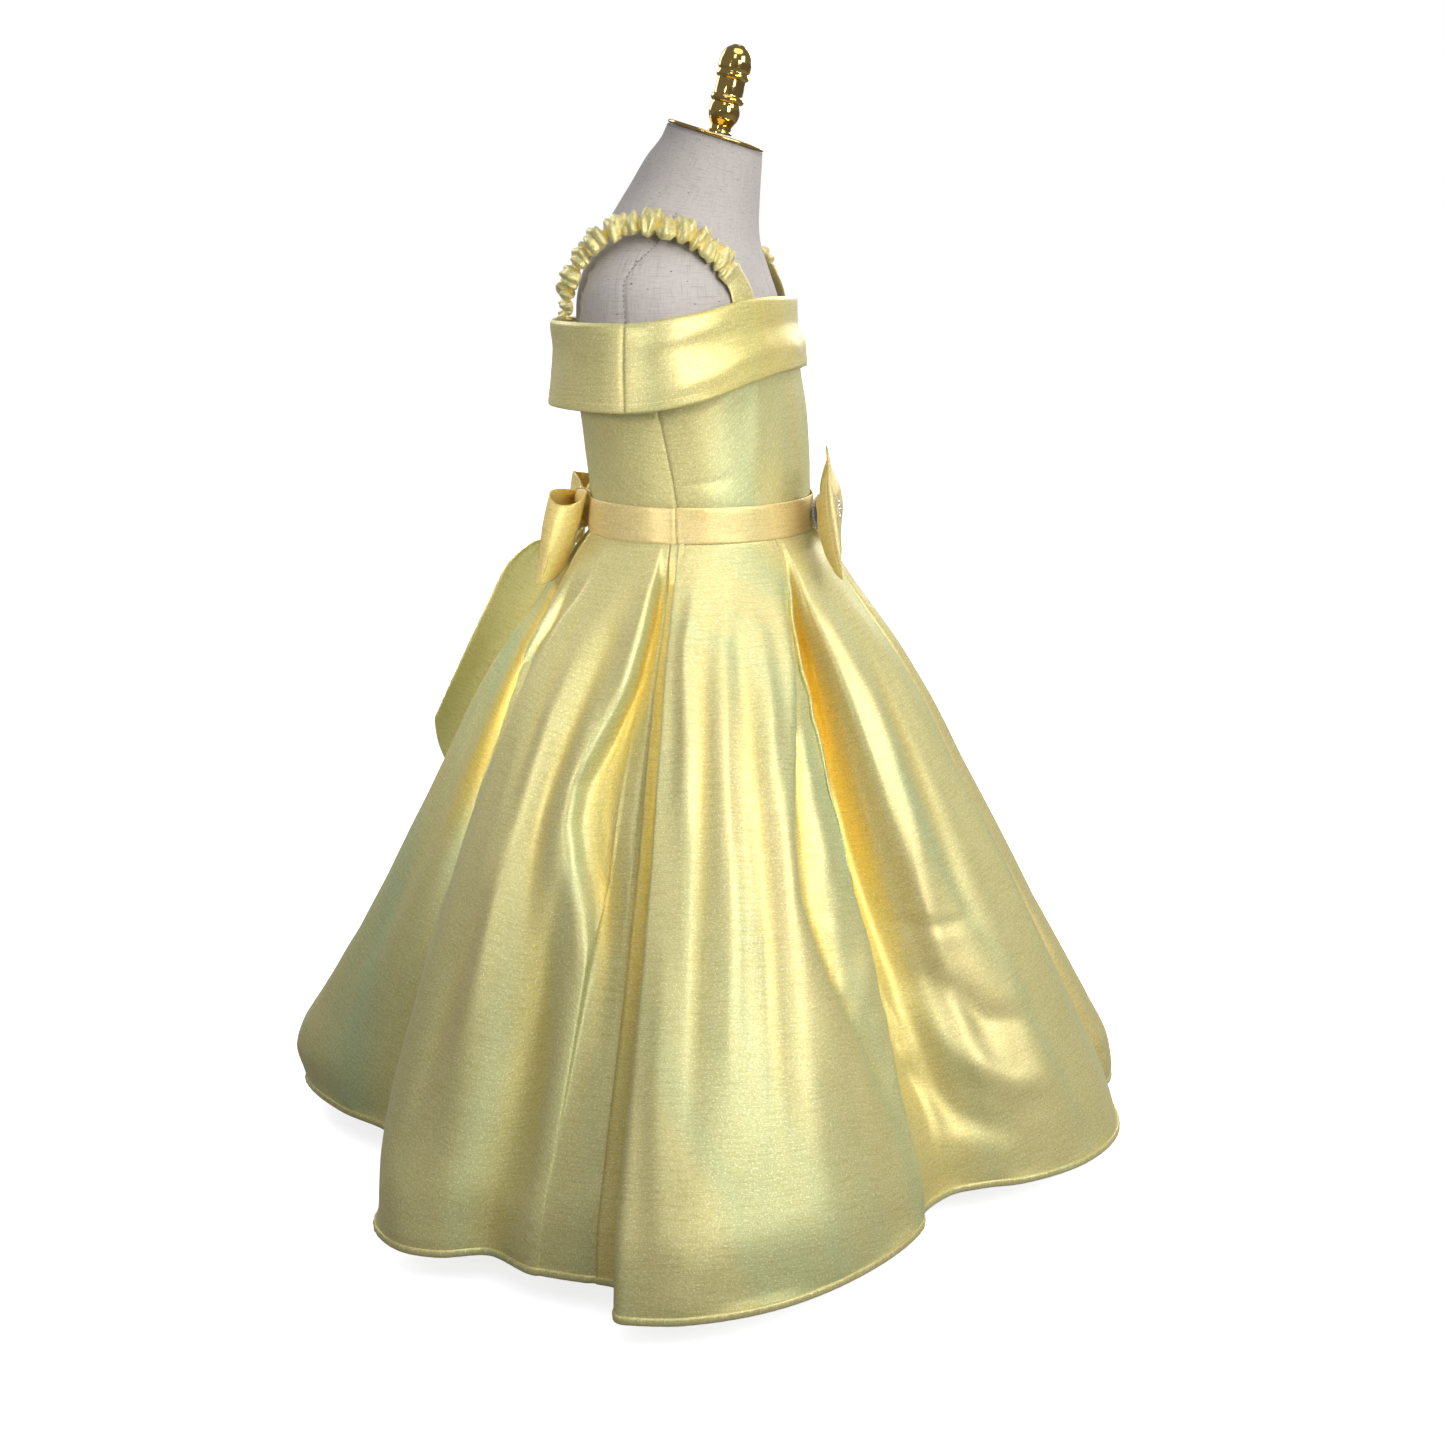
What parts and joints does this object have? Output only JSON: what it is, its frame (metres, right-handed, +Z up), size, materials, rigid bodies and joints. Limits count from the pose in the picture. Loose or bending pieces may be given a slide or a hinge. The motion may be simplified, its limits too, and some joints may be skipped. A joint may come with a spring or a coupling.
{
  "type": "child's off-shoulder ball gown on a limbless dress form with a stand",
  "caption": "Child's off-shoulder ball gown with fold-over cuff, ruched straps, waist bow, back sash and full pleated skirt, on a linen dress form.",
  "frame": {"origin": "centre of the stand base's underside, on the floor", "axes": "+Z up along the stand pole; the wearer faces -Y and the wearer's right side is -X"},
  "size_m": [0.6743, 0.6442, 0.8023],
  "materials": {
    "satin": "satin",
    "ribbon": "satin",
    "linen": "matte",
    "gold": "polished",
    "silver": "polished",
    "stand": "satin"
  },
  "bodies": {
    "root": {"bodice_front": "satin", "bodice_back_right": "satin", "bodice_back_left": "satin", "cuff_front": "satin", "cuff_back_right": "satin", "cuff_back_left": "satin", "waistband_front": "satin", "waistband_back_right": "satin", "waistband_back_left": "satin", "skirt_front": "satin", "skirt_back_right": "satin", "skirt_back_left": "satin", "strap_right": "satin", "strap_left": "satin", "bow_wing_right": "ribbon", "bow_wing_left": "ribbon", "bow_clasp": "silver", "sash_knot": "ribbon", "sash_loop_right": "ribbon", "sash_loop_left": "ribbon", "sash_tail_right": "ribbon", "sash_tail_left": "ribbon", "form_torso": "linen", "neck_plate": "gold", "finial": "gold", "stand_pole": "stand", "stand_base": "stand"}
  },
  "joints": []
}
